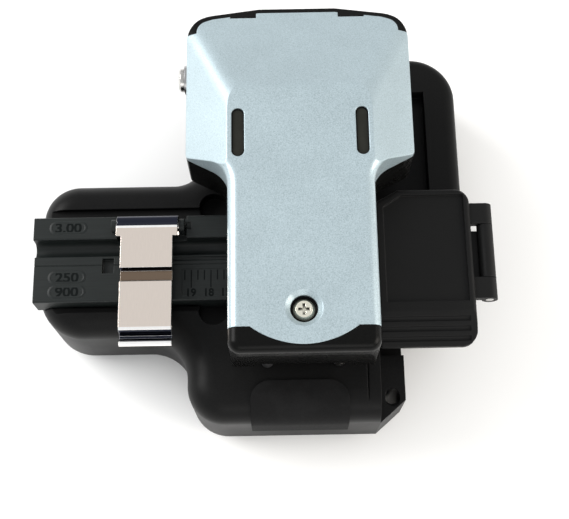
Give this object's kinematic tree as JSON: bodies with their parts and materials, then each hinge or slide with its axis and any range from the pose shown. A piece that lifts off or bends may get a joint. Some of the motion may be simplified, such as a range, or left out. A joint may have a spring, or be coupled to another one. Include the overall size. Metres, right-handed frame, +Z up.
{
  "type": "fibre cleaver",
  "caption": "Hand-held optical fibre cleaver: base with wing, handle and offcut box, hinged arm over the blade line, and a fibre adapter with a sprung clamp.",
  "frame": {"origin": "on the table under the middle of the outline", "axes": "+X along the fibre towards the offcut box, +Y towards the arm's hinge, +Z up"},
  "size_m": [0.0917, 0.081, 0.046],
  "materials": {
    "black_housing": "matte black coating",
    "black_arm": "satin black",
    "silver_paint": "fine metallic silver-blue paint",
    "dark_insert": "matt",
    "bright_screw": "polished",
    "steel_screws": "plain",
    "clamp_chrome": "polished plate",
    "dark_aluminium": "black anodised",
    "pin_steel": "ground",
    "plain_steel": "plain",
    "bright_aluminium": "milled",
    "rubber_pads": "soft",
    "soft_thumb": "smooth",
    "bronze": "sintered bronze",
    "hard_blade": "ground carbide",
    "anvil_steel": "ground",
    "magnet_nickel": "nickel plate",
    "black_plastic": "fine matt grain"
  },
  "bodies": {
    "base": {"base_housing": "black_housing", "bottom_cover": "black_housing", "rubber_feet": "rubber_pads", "base_screws": "steel_screws", "bed_plate": "bright_aluminium", "bed_screws": "steel_screws", "clamp_posts": "bright_aluminium", "lower_clamp_pads": "rubber_pads", "guide_rail": "plain_steel", "hinge_shaft": "pin_steel", "hinge_clip": "plain_steel", "hinge_bushes": "bronze", "thumb_pad": "soft_thumb", "closing_stop": "rubber_pads", "catch_post": "black_plastic", "catch_magnet": "magnet_nickel", "fibre_adapter": "dark_aluminium", "adapter_magnets": "magnet_nickel", "clamp_pin": "pin_steel", "scrap_bin": "black_plastic", "bin_screws": "steel_screws", "scrap_hinge_pin": "pin_steel"},
    "arm": {"arm_cover": "silver_paint", "slot_inserts": "dark_insert", "arm_screw": "bright_screw", "nose_cap": "black_arm", "catch_plate": "plain_steel", "arm_frame": "black_arm", "clamp_carrier": "bright_aluminium", "carrier_screws": "steel_screws", "upper_clamp_pads": "rubber_pads", "anvil": "anvil_steel", "drive_lever": "plain_steel", "lever_screws": "steel_screws", "drive_pin": "pin_steel"},
    "carriage": {"blade_carriage": "bright_aluminium", "drive_tongue": "plain_steel", "tongue_screw": "steel_screws", "blade_bush": "bronze", "blade_screw": "steel_screws"},
    "blade": {"blade_wheel": "hard_blade"},
    "adapter_clamp": {"clamp_lid": "clamp_chrome", "clamp_rubber": "rubber_pads"},
    "box_lid": {"scrap_lid": "black_plastic"}
  },
  "joints": [
    {"name": "arm_hinge", "type": "hinge", "parent": "base", "child": "arm", "pos_m": [0.007, 0.0285, 0.031], "axis": [-1, 0, 0], "range_deg": [0, 60]},
    {"name": "carriage_slide", "type": "slide", "parent": "base", "child": "carriage", "axis": [0, -1, 0], "range_m": [0, 0.014]},
    {"name": "blade_turn", "type": "hinge", "parent": "carriage", "child": "blade", "pos_m": [0.007, -0.0005, 0.0189], "axis": [1, 0, 0], "continuous": true},
    {"name": "clamp_hinge", "type": "hinge", "parent": "base", "child": "adapter_clamp", "pos_m": [-0.02325, -0.002, 0.0282], "axis": [-1, 0, 0], "range_deg": [0, 95]},
    {"name": "box_lid_hinge", "type": "hinge", "parent": "base", "child": "box_lid", "pos_m": [0.0441, -0.00737, 0.0242], "axis": [0, 1, 0], "range_deg": [0, 100]}
  ],
  "couplings": [
    {"joint": "carriage_slide", "follows": "arm_hinge", "m_per_rad": 0.01336}
  ]
}
